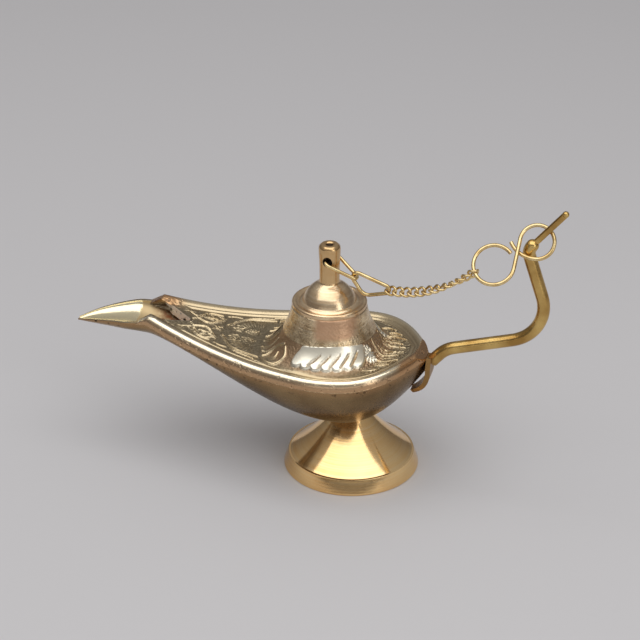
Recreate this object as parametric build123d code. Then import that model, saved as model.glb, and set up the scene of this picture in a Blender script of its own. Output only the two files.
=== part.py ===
from build123d import *
import math
import os

# Oil lamp of cast brass: a boat-shaped body on a turned foot, a lift-off lid, a rod handle,
# and a chain that ties the lid to the handle. Millimetres, Z up, beak towards -X.
# The origin is the centre of the ring that the foot rests on.

# Foot
foot_radius = 20.7
foot_rim_height = 4.8
foot_rim_draft = 1.5
foot_ledge = 0.5
foot_height = 18.0
foot_waist_radius = 5.6
foot_cone_hollow = 0.9
foot_wall = 1.8
foot_ring_width = 3.0
tenon_radius = 2.2
tenon_clearance = 0.05
peened_head_radius = 3.6
peened_head_height = 1.0

# Body, from above
belly_x = -4.0
belly_half_width = 24.6
belly_rounding = 8.0
stern_x = 23.2
stern_chamfer = 2.8
stern_overrun = 1.0
stern_fullness = 2.75
beak_tip_x = -87.0
beak_tip_half_width = 0.854
beak_spread = 2.4
beak_shoulder = 0.35
beak_keel_rise = 0.8

# Body, from the side
sheer_low_x = -20.0
sheer_low = 40.0
sheer_front = 46.9
sheer_stern = 43.0
rim_height = 3.0
throat_x = -62.0
throat_keel = 38.2
beak_tip_lip = 39.1
beak_tip_keel = 38.2
stern_keel = 36.0
keel_stern_power = 1.9
keel_front_power = 1.15
hull_wall = 1.4
boss_height = 2.4

# Deck and neck of the upper shell
bead_width = 5.0
bead_crest_share = 0.28
deck_recess = 0.8
deck_wall = 1.5
notch_apex_x = -50.0
notch_half_width = 6.8
rim_end_x = -61.0
rim_end_run = 4.5
neck_x = -7.0
neck_skirt_radius = 19.4
neck_waist_radius = 13.2
neck_waist_z = 47.2
neck_lip_radius = 11.3
neck_lip_z = 53.9
neck_bore_radius = 8.7
neck_bore_depth = 6.0

# Raised ornament on the deck and the neck's skirt, drawn for one side and mirrored:
# each leaf is (start, middle, end, half width) in plan
relief_height = 0.6
relief_depth = 0.5
bud_leaves = [
    ((-49.0, 2.5), (-44.9, 1.5), (-41.1, 6.2), 0.5),
    ((-48.6, 3.7), (-46.5, 6.9), (-42.4, 7.7), 0.5),
    ((-46.8, 4.0), (-45.0, 4.3), (-43.2, 4.3), 0.45),
]
border_leaves = [((-39.6, 3.2), (-34.8, 9.0), (-26.4, 11.6), 0.45)]
scroll_leaves = [
    ((-18.0, 10.8), (-20.6, 14.4), (-25.4, 11.8), 0.75),
    ((-18.6, 9.6), (-21.6, 8.3), (-25.2, 10.2), 0.6),
    ((-22.9, 11.5), (-21.2, 11.9), (-20.3, 10.6), 0.5),
]
collar_leaves = [
    ((-27.2, 1.2), (-24.6, 2.4), (-21.8, 3.0), 0.5),
    ((-26.8, 5.0), (-24.2, 5.9), (-21.4, 5.6), 0.5),
]
rear_leaves = [
    ((6.6, 3.1), (10.6, 4.4), (15.0, 3.4), 0.55),
    ((7.4, 6.6), (11.4, 7.9), (15.4, 6.4), 0.55),
    ((9.6, 1.2), (12.8, 1.7), (16.2, 1.2), 0.45),
    ((9.4, 10.3), (11.4, 10.4), (13.4, 9.4), 0.5),
]
palm_centre = (-29.2, 0.6)
palm_ray_angles = (100, 115, 130, 145, 160, 174)
palm_ray_radii = (5.7, 9.2)
palm_ray_half_width = 0.5
palm_vein_angles = (105, 135, 165)
palm_vein_radii = (1.6, 5.0)
palm_vein_half_width = 0.45
acanthus_angles = (107, 96, 85, 74, 63, 52, 41)
acanthus_radii = (13.9, 16.9)
acanthus_half_width = 1.1
acanthus_lean = -14.0
rosette_angle = 28.0
rosette_distance = 16.2
rosette_radius = 2.1

# Lid
lid_clearance = 0.3
lid_spigot_depth = 4.5
lid_wall = 1.6
lid_flange_height = 1.2
lid_bead_drop = 1.4
lid_groove = 0.5
lid_dome_radius = 8.0
lid_dome_height = 5.6
lid_stem_radius = 3.05
lid_stem_swell = 0.25
lid_stem_height = 12.6
lid_stem_hole_radius = 1.5
lid_stem_hole_below_top = 4.8
lid_hole_chamfer = 0.4
lid_top_chamfer = 0.7
lid_dimple_radius = 1.7
lid_dimple_depth = 0.8

# Handle
handle_radius = 1.9
handle_root_z = 38.7
handle_root_bend = (28.6, 43.2)
handle_back_bend = (60.6, 52.2)
handle_top_bend = (51.8, 78.8)
handle_root_bend_radius = 9.0
handle_back_bend_radius = 12.0
handle_top_bend_radius = 3.6
handle_tail_tip = (62.2, 91.2)
handle_tail_height = 1.9
handle_tail_thickness = 1.2
handle_tip_radius = 1.0
leaf_length = 10.0
leaf_half_width = 3.6
leaf_thickness = 1.5
leaf_bend_radius = 8.0
leaf_top = 1.5

# Chain
wire_gap = 0.16
stem_loop_wire = 1.1
stem_loop_length = 9.3
stem_loop_slope = -28.0
stem_loop_corner = 1.2
long_link_wire = 1.15
long_link_pitch = 10.6
long_link_start_bend = 1.7
long_link_belly_bend = 3.0
long_link_end_bend = 1.3
long_link_belly_share = 0.415
long_link_belly_drop = 1.2
curb_wire = 0.72
curb_pitch = 2.37
curb_half_width = 1.32
curb_end_tilt = 48.0
curb_side_slope = 38.0
curb_first_roll = -48.0
curb_flat_links = 5
curb_roll_step = -12.0
chain_slack = 1.07
chain_bend_power = 0.6

# Figure-eight hook at the handle
hook_wire = 1.2
hook_tilt = 34.0
hook_big_radius = 5.9
hook_small_radius = 4.95
hook_centre_distance = 14.1
hook_slant = 36.0
hook_offset_x = 2.7
hook_offset_z = 3.0
hook_offset_y = -0.4
hook_big_start = 42.0
hook_chain_angle = 208.0
hook_small_sweep = 262.0
hook_end_run = 8.0
hook_end_rise = 4.2
hook_end_depth = 0.6
hook_lean = 8.0

beak_run = math.hypot(belly_x - beak_tip_x, belly_rounding) - belly_rounding
beak_taper = (belly_half_width - beak_tip_half_width) / beak_run
reach = 200.0


# Shape of the body, as functions of the place along X
def smooth(t):
    return t * t * (3 - 2 * t)


# Swell of the open beak, from none at the throat and the tip to one along its length
def beak_swell(x):
    share = (throat_x - x) / (throat_x - beak_tip_x)
    if share <= 0:
        return 0.0
    return smooth(min(1.0, share / beak_shoulder)) * (1 - share**5)


def half_width(x, inset=0.0):
    if x >= belly_x:
        share = (x - belly_x) / (stern_x + stern_overrun - 1.2 * inset - belly_x)
        return (belly_half_width - inset) * (1 - share**stern_fullness)
    run = belly_x - x
    straight = belly_half_width - inset - beak_taper * (math.hypot(run, belly_rounding) - belly_rounding)
    return straight + beak_spread * beak_swell(x)


def sheer(x):
    if x >= sheer_low_x:
        return sheer_low + (sheer_stern - sheer_low) * ((x - sheer_low_x) / (stern_x - sheer_low_x)) ** 2
    return sheer_low + (sheer_front - sheer_low) * ((x - sheer_low_x) / (throat_x - sheer_low_x)) ** 2


def seam(x):
    if x >= throat_x:
        return sheer(x) - rim_height
    share = (throat_x - x) / (throat_x - beak_tip_x)
    throat_seam = sheer(throat_x) - rim_height
    return beak_tip_lip + (throat_seam - beak_tip_lip) * (1 - share**2)


def keel(x, inset=0.0):
    if x >= 0:
        share = x / (stern_x - 1.2 * inset)
        return foot_height + inset + (stern_keel - foot_height) * share**keel_stern_power
    if x >= throat_x:
        share = (x / throat_x) ** keel_front_power
        return foot_height + inset + (throat_keel - foot_height) * smooth(share)
    share = (throat_x - x) / (throat_x - beak_tip_x)
    return throat_keel + inset + (beak_tip_keel - throat_keel) * share + beak_keel_rise * beak_swell(x)


def frames(front_x, rear_x):
    rear = [belly_x + (rear_x - belly_x) * share for share in (1.0, 0.88, 0.7, 0.4, 0.0)]
    front_shares = (0.15, 0.31, 0.48, 0.62, 0.7, 0.76, 0.82, 0.88, 0.93, 0.97, 1.0)
    front = [belly_x + (front_x - belly_x) * share for share in front_shares]
    return rear + front


def section_face(x, edges):
    return Plane(origin=(x, 0, 0), x_dir=(0, 1, 0), z_dir=(1, 0, 0)) * make_face(edges)


def hull_section(x, inset, above):
    side = half_width(x, inset)
    top = seam(x)
    depth = top - keel(x, inset)
    belly_left = EllipticalCenterArc((0, top), side, depth, start_angle=180, arc_size=90)
    belly_right = EllipticalCenterArc((0, top), side, depth, start_angle=270, arc_size=90)
    edges = [
        Line((-side, top + above), (-side, top)),
        belly_left,
        belly_right,
        Line((side, top), (side, top + above)),
        Line((side, top + above), (-side, top + above)),
    ]
    return section_face(x, edges)


def crown_section(x):
    side = half_width(x)
    low = seam(x) - rim_height
    top = sheer(x)
    bead = min(bead_width, 0.8 * side)
    crest = side - bead_crest_share * bead
    inner = side - bead
    edges = [
        Line((-side, low), (-side, seam(x))),
        ThreePointArc((-side, seam(x)), (-crest, top), (-inner, top - deck_recess)),
        Line((-inner, top - deck_recess), (inner, top - deck_recess)),
        ThreePointArc((inner, top - deck_recess), (crest, top), (side, seam(x))),
        Line((side, seam(x)), (side, low)),
        Line((side, low), (-side, low)),
    ]
    return section_face(x, edges)


def under_deck_section(x):
    side = half_width(x, hull_wall)
    low = seam(x) - 2 * rim_height
    high = sheer(x) - deck_recess - deck_wall
    edges = Polyline((-side, low), (-side, high), (side, high), (side, low), close=True)
    return section_face(x, edges)


def side_prism(points):
    face = make_face(Polyline(*[(x, 0, z) for x, z in points], close=True))
    return extrude(face, amount=reach, both=True, dir=(0, 1, 0))


def above_seam():
    xs = frames(beak_tip_x, stern_x)
    line = [(stern_x + 1, 0, seam(stern_x))] + [(x, 0, seam(x)) for x in xs]
    line.append((beak_tip_x - 1, 0, seam(beak_tip_x)))
    edge = Spline(*line)
    high = sheer_front + reach
    outline = [edge, Polyline(edge @ 1, (beak_tip_x - 1, 0, high), (stern_x + 1, 0, high), edge @ 0)]
    return extrude(make_face(outline), amount=reach, both=True, dir=(0, 1, 0))


# Wire made of straight runs and tangent arcs
def bent_wire(edges, diameter):
    pieces = []
    for edge in edges:
        section = Plane(origin=edge @ 0, z_dir=edge % 0) * Circle(diameter / 2)
        if edge.geom_type == GeomType.LINE:
            pieces.append(extrude(section, amount=edge.length, dir=edge % 0))
        else:
            centre = edge.arc_center
            turn = Axis(centre, (edge @ 0 - centre).cross(edge % 0))
            pieces.append(revolve(section, turn, math.degrees(edge.length / edge.radius)))
    whole = pieces[0]
    for piece in pieces[1:]:
        whole = whole + piece
    return whole


def twin_arcs(start, start_dir, end, end_dir):
    start, end = Vector(*start), Vector(*end)
    start_dir, end_dir = Vector(*start_dir).normalized(), Vector(*end_dir).normalized()
    chord = end - start
    along = chord.dot(start_dir + end_dir)
    spread = 2 * (1 - start_dir.dot(end_dir))
    arm = (math.sqrt(along**2 + spread * chord.dot(chord)) - along) / spread
    first = start + start_dir * arm
    second = end - end_dir * arm
    middle = (first + second) * 0.5
    return [
        Edge.make_tangent_arc(start, start_dir, middle),
        Edge.make_tangent_arc(middle, second - first, end),
    ]


# Lower shell: the boat with its open beak, and the seat for the foot
def make_lower_shell(cutter):
    outer = loft([hull_section(x, 0.0, rim_height) for x in frames(beak_tip_x, stern_x)])
    inner_tip = beak_tip_x + 3 * hull_wall
    inner_stern = stern_x - 2 * hull_wall
    inner = loft([hull_section(x, hull_wall, 2 * rim_height) for x in frames(inner_tip, inner_stern)])
    boss = Pos(0, 0, foot_height) * Cylinder(
        foot_waist_radius, boss_height, align=(Align.CENTER, Align.CENTER, Align.MIN)
    )
    hole = Cylinder(tenon_radius + tenon_clearance, reach)
    return outer - inner - cutter + boss - hole


# Ornament: leaves with pointed ends, raised above the deck and the neck's skirt
def leaf_face(start, middle, end, half_width):
    chord = (Vector(*end) - Vector(*start)).normalized()
    side = Vector(-chord.Y, chord.X) * half_width
    outer = ThreePointArc(start, Vector(*middle) + side, end)
    inner = ThreePointArc(end, Vector(*middle) - side, start)
    return make_face([outer, inner])


def ray_leaf(centre, angle, radii, half_width, lean=0.0):
    points = []
    for radius, share in ((radii[0], -0.5), ((radii[0] + radii[1]) / 2, 0.1), (radii[1], 0.5)):
        turn = math.radians(angle - lean * share)
        points.append((centre[0] + radius * math.cos(turn), centre[1] + radius * math.sin(turn)))
    return leaf_face(*points, half_width)


def ornament_skin(flare):
    xs = [notch_apex_x + (stern_x - notch_apex_x) * share / 12 for share in range(13)]
    low = Spline(*[(x, 0, sheer(x) - deck_recess - relief_depth) for x in xs])
    high = Spline(*[(x, 0, sheer(x) - deck_recess + relief_height) for x in xs])
    layer = make_face([low, Line(low @ 1, high @ 1), high, Line(high @ 0, low @ 0)])
    deck_skin = extrude(layer, amount=belly_half_width - bead_width, both=True, dir=(0, 1, 0))
    middle = flare.arc_center
    over = flare.radius - relief_height
    under = flare.radius + relief_depth
    skirt = []
    for radius in (over, under):
        points = [middle + (flare @ share - middle).normalized() * radius for share in (0.0, 0.5, 1.0)]
        skirt.append(ThreePointArc(*points))
    ring = make_face([skirt[0], skirt[1], Line(skirt[0] @ 0, skirt[1] @ 0), Line(skirt[0] @ 1, skirt[1] @ 1)])
    return deck_skin + Pos(neck_x, 0, 0) * revolve(ring, Axis.Z)


def make_relief(flare):
    skin = ornament_skin(flare)
    leaves = bud_leaves + border_leaves + scroll_leaves + collar_leaves + rear_leaves
    faces = [leaf_face(*leaf) for leaf in leaves]
    neck = (neck_x, 0.0)
    for angle in palm_ray_angles:
        faces.append(ray_leaf(palm_centre, angle, palm_ray_radii, palm_ray_half_width))
    for angle in palm_vein_angles:
        faces.append(ray_leaf(palm_centre, angle, palm_vein_radii, palm_vein_half_width))
    for angle in acanthus_angles:
        faces.append(ray_leaf(neck, angle, acanthus_radii, acanthus_half_width, acanthus_lean))
    turn = math.radians(rosette_angle)
    rosette = (neck_x + rosette_distance * math.cos(turn), rosette_distance * math.sin(turn))
    faces.append(Pos(*rosette) * Circle(rosette_radius))
    prisms = []
    for face in faces:
        prism = extrude(face, amount=neck_lip_z)
        prisms += [prism, prism.mirror(Plane.XZ)]
    return (skin & Compound(children=prisms)).solids()


# Upper shell: bead rim, deck, skirted neck, and the notch over the wick
def make_upper_shell(cutter):
    rim_front_x = rim_end_x - rim_end_run
    crown = loft([crown_section(x) for x in frames(rim_front_x, stern_x)])
    hollow = loft([under_deck_section(x) for x in frames(rim_front_x - 1, stern_x - 2 * hull_wall)])
    skirt_z = sheer_low - deck_recess
    flare = ThreePointArc(
        (neck_skirt_radius, 0, skirt_z),
        (neck_waist_radius, 0, neck_waist_z),
        (neck_lip_radius, 0, neck_lip_z),
    )
    bore_low = neck_lip_z - neck_bore_depth
    skirt_low = skirt_z - deck_wall / 2
    above = neck_lip_z + 1
    below = skirt_z - 2 * rim_height
    neck_outline = [
        flare,
        Polyline(flare @ 1, (0, 0, neck_lip_z), (0, 0, skirt_low)),
        Polyline((0, 0, skirt_low), (neck_skirt_radius, 0, skirt_low), flare @ 0),
    ]
    neck = revolve(make_face(neck_outline), Axis.Z)
    inside_radius = neck_skirt_radius - 2 * deck_wall
    inside_flare = Line((neck_bore_radius, 0, bore_low), (inside_radius, 0, skirt_z - deck_wall))
    bore_outline = [
        inside_flare,
        Polyline(inside_flare @ 1, (inside_radius, 0, below), (0, 0, below)),
        Polyline((0, 0, below), (0, 0, above), (neck_bore_radius, 0, above), inside_flare @ 0),
    ]
    bore = revolve(make_face(bore_outline), Axis.Z)
    rim_end = side_prism(
        [
            (rim_end_x, sheer_front + reach),
            (rim_end_x, sheer(rim_end_x)),
            (rim_front_x, seam(rim_front_x)),
            (rim_front_x, -reach),
            (-reach, -reach),
            (-reach, sheer_front + reach),
        ]
    )
    filed_x = stern_x - stern_chamfer
    filed = side_prism(
        [
            (filed_x, sheer(filed_x)),
            (stern_x, seam(stern_x)),
            (reach, seam(stern_x)),
            (reach, reach),
            (filed_x, reach),
        ]
    )
    notch_front = notch_half_width - rim_end_run * beak_taper
    notch = extrude(
        make_face(
            Polyline(
                (notch_apex_x, 0),
                (rim_end_x, notch_half_width),
                (rim_front_x - 1, notch_front),
                (rim_front_x - 1, -notch_front),
                (rim_end_x, -notch_half_width),
                close=True,
            )
        ),
        amount=reach,
    )
    shell = crown - hollow + Pos(neck_x, 0, 0) * neck - Pos(neck_x, 0, 0) * bore
    shell = (shell & cutter) - rim_end - filed - notch
    return shell.fuse(*make_relief(flare))


# Foot: a hollow turned cone with a bevelled rim, and a tenon peened inside the hull
def make_foot():
    rim_top = foot_radius - foot_rim_draft
    cone_base = rim_top - foot_ledge
    middle_r = (cone_base + foot_waist_radius) / 2 - foot_cone_hollow / 2
    middle_z = (foot_rim_height + foot_height) / 2 - foot_cone_hollow / 2
    cone = ThreePointArc(
        (cone_base, 0, foot_rim_height), (middle_r, 0, middle_z), (foot_waist_radius, 0, foot_height)
    )
    head_low = foot_height + boss_height
    inner_low = foot_radius - foot_ring_width
    inner_high = foot_height - 4 * foot_wall
    outline = [
        cone,
        Polyline(
            cone @ 1,
            (tenon_radius, 0, foot_height),
            (tenon_radius, 0, head_low),
            (peened_head_radius, 0, head_low),
            (peened_head_radius - peened_head_height / 2, 0, head_low + peened_head_height),
            (0, 0, head_low + peened_head_height),
            (0, 0, inner_high),
            (foot_waist_radius - foot_wall, 0, inner_high),
            (inner_low - foot_rim_draft, 0, foot_rim_height - foot_wall),
            (inner_low, 0, 0),
            (foot_radius, 0, 0),
            (rim_top, 0, foot_rim_height),
            cone @ 0,
        ),
    ]
    return revolve(make_face(outline), Axis.Z)


# Lid: spigot, stepped flange, bell dome and a drilled stem
lid_flange_top = neck_lip_z + lid_flange_height
lid_dome_base = lid_flange_top + lid_groove
lid_stem_base = lid_dome_base + lid_dome_height
lid_top = lid_stem_base + lid_stem_height
lid_hole_z = lid_top - lid_stem_hole_below_top


def make_lid():
    spigot = neck_bore_radius - lid_clearance
    bead = ThreePointArc(
        (neck_lip_radius, 0, lid_flange_top),
        (neck_lip_radius - lid_bead_drop / 2, 0, lid_flange_top + 0.8 * lid_groove),
        (neck_lip_radius - lid_bead_drop, 0, lid_flange_top + lid_groove),
    )
    dome = ThreePointArc(
        (lid_dome_radius, 0, lid_dome_base),
        (lid_dome_radius * 0.78, 0, lid_dome_base + 0.66 * lid_dome_height),
        (lid_stem_radius, 0, lid_stem_base),
    )
    swell = ThreePointArc(
        (lid_stem_radius, 0, lid_hole_z),
        (lid_stem_radius + lid_stem_swell, 0, lid_top - 2 * lid_top_chamfer),
        (lid_stem_radius, 0, lid_top - lid_top_chamfer),
    )
    rim_top = lid_stem_radius - lid_top_chamfer
    outline = [
        bead,
        Polyline(bead @ 1, (lid_dome_radius + lid_groove, 0, lid_flange_top), dome @ 0),
        dome,
        Polyline(dome @ 1, swell @ 0),
        swell,
        Polyline(
            swell @ 1,
            (rim_top, 0, lid_top),
            (lid_dimple_radius, 0, lid_top),
            (lid_dimple_radius / 3, 0, lid_top - lid_dimple_depth),
            (0, 0, lid_top - lid_dimple_depth),
            (0, 0, neck_lip_z),
            (spigot - lid_wall, 0, neck_lip_z),
            (spigot - lid_wall, 0, neck_lip_z - lid_spigot_depth),
            (spigot, 0, neck_lip_z - lid_spigot_depth),
            (spigot, 0, neck_lip_z),
            (neck_lip_radius, 0, neck_lip_z),
            bead @ 0,
        ),
    ]
    solid = revolve(make_face(outline), Axis.Z)
    across = Pos(0, 0, lid_hole_z) * Rot(90, 0, 0)
    solid = solid - across * Cylinder(lid_stem_hole_radius, reach)
    mouth = Cone(
        lid_stem_hole_radius,
        lid_stem_hole_radius + lid_stem_radius,
        lid_stem_radius,
        align=(Align.CENTER, Align.CENTER, Align.MIN),
    )
    for side in (90, -90):
        out = Rot(side, 0, 0) * Pos(0, 0, lid_stem_radius - lid_hole_chamfer)
        solid = solid - Pos(0, 0, lid_hole_z) * out * mouth
    return Pos(neck_x, 0, 0) * solid


# Handle: bent rod with a thin tail above, and a leaf tab that is brazed to the stern
def in_plane(point):
    return (point[0], 0, point[1])


def make_handle():
    root = (stern_x + leaf_thickness, 0, handle_root_z)
    tip = in_plane(handle_tail_tip)
    bends = [in_plane(p) for p in (handle_root_bend, handle_back_bend, handle_top_bend)]
    radii = [handle_root_bend_radius, handle_back_bend_radius, handle_top_bend_radius]
    path = FilletPolyline(root, *bends, tip, radius=radii)
    edges = path.edges().sort_by(path)
    rod = bent_wire(edges[:-1], 2 * handle_radius)
    tail_run = edges[-1]
    rod_end = tail_run @ 0
    rod = rod + Pos(*rod_end) * Sphere(handle_radius)
    tail_plane = Plane(origin=rod_end, x_dir=(0, 1, 0), z_dir=tail_run % 0)
    tail_section = RectangleRounded(
        handle_tail_thickness, handle_tail_height, 0.45 * handle_tail_thickness
    )
    rod = rod + extrude(tail_plane * tail_section, amount=tail_run.length)
    rod = rod + Pos(*tip) * Sphere(handle_tip_radius)
    leaf_mid = leaf_bend_radius + leaf_thickness / 2
    leaf_centre = (stern_x - leaf_bend_radius, 0, stern_keel)
    leaf_plane = Plane(origin=leaf_centre, x_dir=(1, 0, 0), z_dir=(0, -1, 0))
    sweep_angle = math.degrees(leaf_length / leaf_mid)
    band = CenterArc((0, 0), leaf_mid, 0, -sweep_angle)
    strip = make_face(
        [
            CenterArc((0, 0), leaf_bend_radius, 0, -sweep_angle),
            CenterArc((0, 0), leaf_bend_radius + leaf_thickness, 0, -sweep_angle),
            Line((leaf_bend_radius, 0), (leaf_bend_radius + leaf_thickness, 0)),
            Line(
                Vector(leaf_bend_radius, 0).rotate(Axis.Z, -sweep_angle),
                Vector(leaf_bend_radius + leaf_thickness, 0).rotate(Axis.Z, -sweep_angle),
            ),
        ]
    )
    strip_solid = extrude(leaf_plane * strip, amount=leaf_half_width, both=True)
    pad_top = handle_root_z + leaf_top
    pad = Pos(stern_x, 0, stern_keel) * Box(
        leaf_thickness,
        2 * leaf_half_width,
        pad_top - stern_keel,
        align=(Align.MIN, Align.CENTER, Align.MIN),
    )
    low = stern_keel - (leaf_plane * band).bounding_box().size.Z - leaf_thickness
    widest_z = (stern_keel + handle_root_z) / 2
    leaf_curve = leaf_half_width * 0.8
    middle_z = (low + widest_z) / 2 - 1
    leaf_edge = [
        ThreePointArc((0, 0, low), (0, leaf_curve, middle_z), (0, leaf_half_width, widest_z)),
        Line((0, leaf_half_width, widest_z), (0, handle_radius, pad_top)),
        Line((0, handle_radius, pad_top), (0, -handle_radius, pad_top)),
        Line((0, -handle_radius, pad_top), (0, -leaf_half_width, widest_z)),
        ThreePointArc((0, -leaf_half_width, widest_z), (0, -leaf_curve, middle_z), (0, 0, low)),
    ]
    leaf_prism = extrude(make_face(leaf_edge), amount=reach, dir=(1, 0, 0))
    return rod + ((strip_solid + pad) & leaf_prism)


# Figure-eight hook, drawn in its own plane with the small loop's centre as origin. The big loop and the
# crossing strand lean forward about the small loop's top, so that the wire's end passes behind the strand.
def hook_plane():
    top_x, top_z = handle_top_bend
    tilt = math.radians(hook_tilt)
    return Plane(
        origin=(top_x + hook_offset_x, hook_offset_y, top_z + hook_offset_z),
        x_dir=(1, 0, 0),
        z_dir=(0, -math.cos(tilt), math.sin(tilt)),
    )


def hook_leaning():
    return Pos(0, hook_small_radius, 0) * Rot(-hook_lean, 0, 0) * Pos(0, -hook_small_radius, 0)


def polar(length, degrees):
    angle = math.radians(degrees)
    return Vector(length * math.cos(angle), length * math.sin(angle))


def hook_big_centre():
    return polar(hook_centre_distance, 180 + hook_slant)


def hook_chain_point():
    flat = hook_big_centre() + polar(hook_big_radius, hook_chain_angle)
    return (hook_leaning() * Vertex(flat)).center()


def hook_edges():
    big = hook_big_centre()
    lean = math.degrees(math.acos((hook_big_radius + hook_small_radius) / hook_centre_distance))
    leave = hook_slant - lean
    join = leave + 180
    leaning = hook_leaning()
    big_arc = leaning * CenterArc(big, hook_big_radius, hook_big_start, 360 + leave - hook_big_start)
    strand = leaning * Line(big + polar(hook_big_radius, leave), polar(hook_small_radius, join))
    rise_arc = leaning * CenterArc((0, 0), hook_small_radius, join, 90 - join)
    fall_arc = CenterArc((0, 0), hook_small_radius, 90, join - 90 - hook_small_sweep)
    last = fall_arc @ 1
    end = last + Vector(-hook_end_run, hook_end_rise, -hook_end_depth)
    tail = Edge.make_tangent_arc(last, fall_arc % 1, end)
    return [edge.edge() for edge in (big_arc, strand, rise_arc, fall_arc, tail)]


def make_hook():
    return hook_plane() * bent_wire(hook_edges(), hook_wire)


# Chain: its vertical plane runs from the lid's stem to the hook's big loop
chain_start = Vector(neck_x, 0, lid_hole_z)
chain_end = hook_plane().from_local_coords(hook_chain_point())
chain_heading = Vector(chain_end.X - chain_start.X, chain_end.Y - chain_start.Y, 0).normalized()
chain_normal = chain_heading.cross(Vector(0, 0, 1))
chain_span = (chain_end - chain_start).dot(chain_heading)


def chain_slopes(span, rise, lengths):
    total = sum(lengths)
    middles = [sum(lengths[:i]) + lengths[i] / 2 for i in range(len(lengths))]
    straight, bent = 0.0, math.pi
    for _ in range(60):
        turn = (straight + bent) / 2
        slopes = [turn * (m / total) ** chain_bend_power for m in middles]
        across = sum(length * math.cos(s) for length, s in zip(lengths, slopes))
        up = sum(length * math.sin(s) for length, s in zip(lengths, slopes))
        if math.hypot(across, up) > math.hypot(span, rise):
            straight = turn
        else:
            bent = turn
    lift = math.atan2(rise, span) - math.atan2(up, across)
    return [s + lift for s in slopes]


def chain_point(across, up):
    return chain_start + chain_heading * across + Vector(0, 0, up)


# Chain nodes: where each wire hangs on the next one
first_slope = math.radians(stem_loop_slope)
first_node = (stem_loop_length * math.cos(first_slope), stem_loop_length * math.sin(first_slope))
last_node_back = (hook_wire + wire_gap) / 2
last_rise = chain_end.Z - chain_start.Z - first_node[1]
last_span = chain_span - first_node[0]
chord = math.hypot(last_span, last_rise)
curb_count = round((chain_slack * chord - long_link_pitch) / curb_pitch)
link_lengths = [long_link_pitch] + [curb_pitch] * (curb_count - 1) + [curb_pitch - last_node_back]
link_slopes = chain_slopes(last_span, last_rise, link_lengths)


def chain_nodes():
    nodes = [first_node]
    for length, slope in zip(link_lengths, link_slopes):
        across, up = nodes[-1]
        nodes.append((across + length * math.cos(slope), up + length * math.sin(slope)))
    return nodes


def link_plane(node, slope, roll=0.0):
    along = chain_heading * math.cos(slope) + Vector(0, 0, math.sin(slope))
    facing = chain_normal.rotate(Axis((0, 0, 0), along), roll)
    return Plane(origin=chain_point(*node), x_dir=along, z_dir=facing)


def rounded_loop(points, radii, diameter):
    corners = FilletPolyline(*points, radius=radii, close=True)
    edges = corners.edges().sort_by(corners)
    return bent_wire(edges, diameter)


def make_stem_loop():
    side = lid_stem_radius + stem_loop_corner
    apex = (stem_loop_wire + long_link_wire) / 2 + wire_gap
    apex_x = stem_loop_length + (stem_loop_wire + wire_gap) / 2
    point_x = apex_x
    for _ in range(30):
        half_angle = math.atan2(side, point_x)
        point_x = apex_x + apex * (1 / math.sin(half_angle) - 1)
    loop = rounded_loop(
        [(0, -side), (point_x, 0), (0, side)],
        [stem_loop_corner, apex, stem_loop_corner],
        stem_loop_wire,
    )
    along = chain_heading * math.cos(first_slope) + Vector(0, 0, math.sin(first_slope))
    across = along.cross(-chain_normal)
    return Plane(origin=chain_start, x_dir=along, z_dir=across) * loop


def make_long_link(node, slope):
    past_node = (long_link_wire + wire_gap) / 2
    belly = Vector(long_link_belly_share * long_link_pitch, -long_link_belly_drop)
    bends = [
        (Vector(long_link_start_bend - past_node, 0), long_link_start_bend),
        (belly, long_link_belly_bend),
        (Vector(long_link_pitch + past_node - long_link_end_bend, 0), long_link_end_bend),
    ]
    following = bends[1:] + bends[:1]
    headings = []
    for (here, bend), (there, next_bend) in zip(bends, following):
        run = there - here
        swing = math.asin((next_bend - bend) / run.length)
        headings.append(math.degrees(math.atan2(run.Y, run.X) - swing))
    edges = []
    for number, (centre, bend) in enumerate(bends):
        arriving = headings[number - 1]
        leaving = headings[number]
        next_centre, next_bend = following[number]
        edges.append(CenterArc(centre, bend, arriving - 90, (leaving - arriving) % 360))
        edges.append(Line(centre + polar(bend, leaving - 90), next_centre + polar(next_bend, leaving - 90)))
    return link_plane(node, slope) * bent_wire(edges, long_link_wire)


def make_curb_link():
    end = (curb_pitch + curb_wire + wire_gap) / 2
    tilt = math.radians(curb_end_tilt)
    slope = math.radians(curb_side_slope)
    stops = [
        ((end, 0, 0), (0, math.cos(tilt), math.sin(tilt))),
        ((0, curb_half_width, 0), (-math.cos(slope), 0, -math.sin(slope))),
        ((-end, 0, 0), (0, -math.cos(tilt), math.sin(tilt))),
        ((0, -curb_half_width, 0), (math.cos(slope), 0, -math.sin(slope))),
    ]
    edges = []
    for here, following in zip(stops, stops[1:] + stops[:1]):
        edges += twin_arcs(*here, *following)
    return bent_wire(edges, curb_wire)


def curb_roll(index):
    return curb_first_roll + curb_roll_step * max(0, index - curb_flat_links)


os.makedirs("parts", exist_ok=True)
over_seam = above_seam()
nodes = chain_nodes()
curb_link = make_curb_link()
solids = {
    "lower_shell": make_lower_shell(over_seam),
    "upper_shell": make_upper_shell(over_seam),
    "foot": make_foot(),
    "handle": make_handle(),
    "lid": make_lid(),
    "stem_loop": make_stem_loop(),
    "long_link": make_long_link(nodes[0], link_slopes[0]),
    "figure_eight_hook": make_hook(),
}
for number in range(1, curb_count + 1):
    slope = link_slopes[number]
    start = nodes[number]
    centre = (start[0] + curb_pitch / 2 * math.cos(slope), start[1] + curb_pitch / 2 * math.sin(slope))
    solids[f"curb_link_{number:02d}"] = link_plane(centre, slope, curb_roll(number)) * curb_link
for name, solid in solids.items():
    export_step(solid, f"parts/{name}.step")
print("chain chord", round(chord, 2), "links", curb_count)
print("slopes", [round(math.degrees(s), 1) for s in link_slopes])
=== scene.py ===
import math

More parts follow.
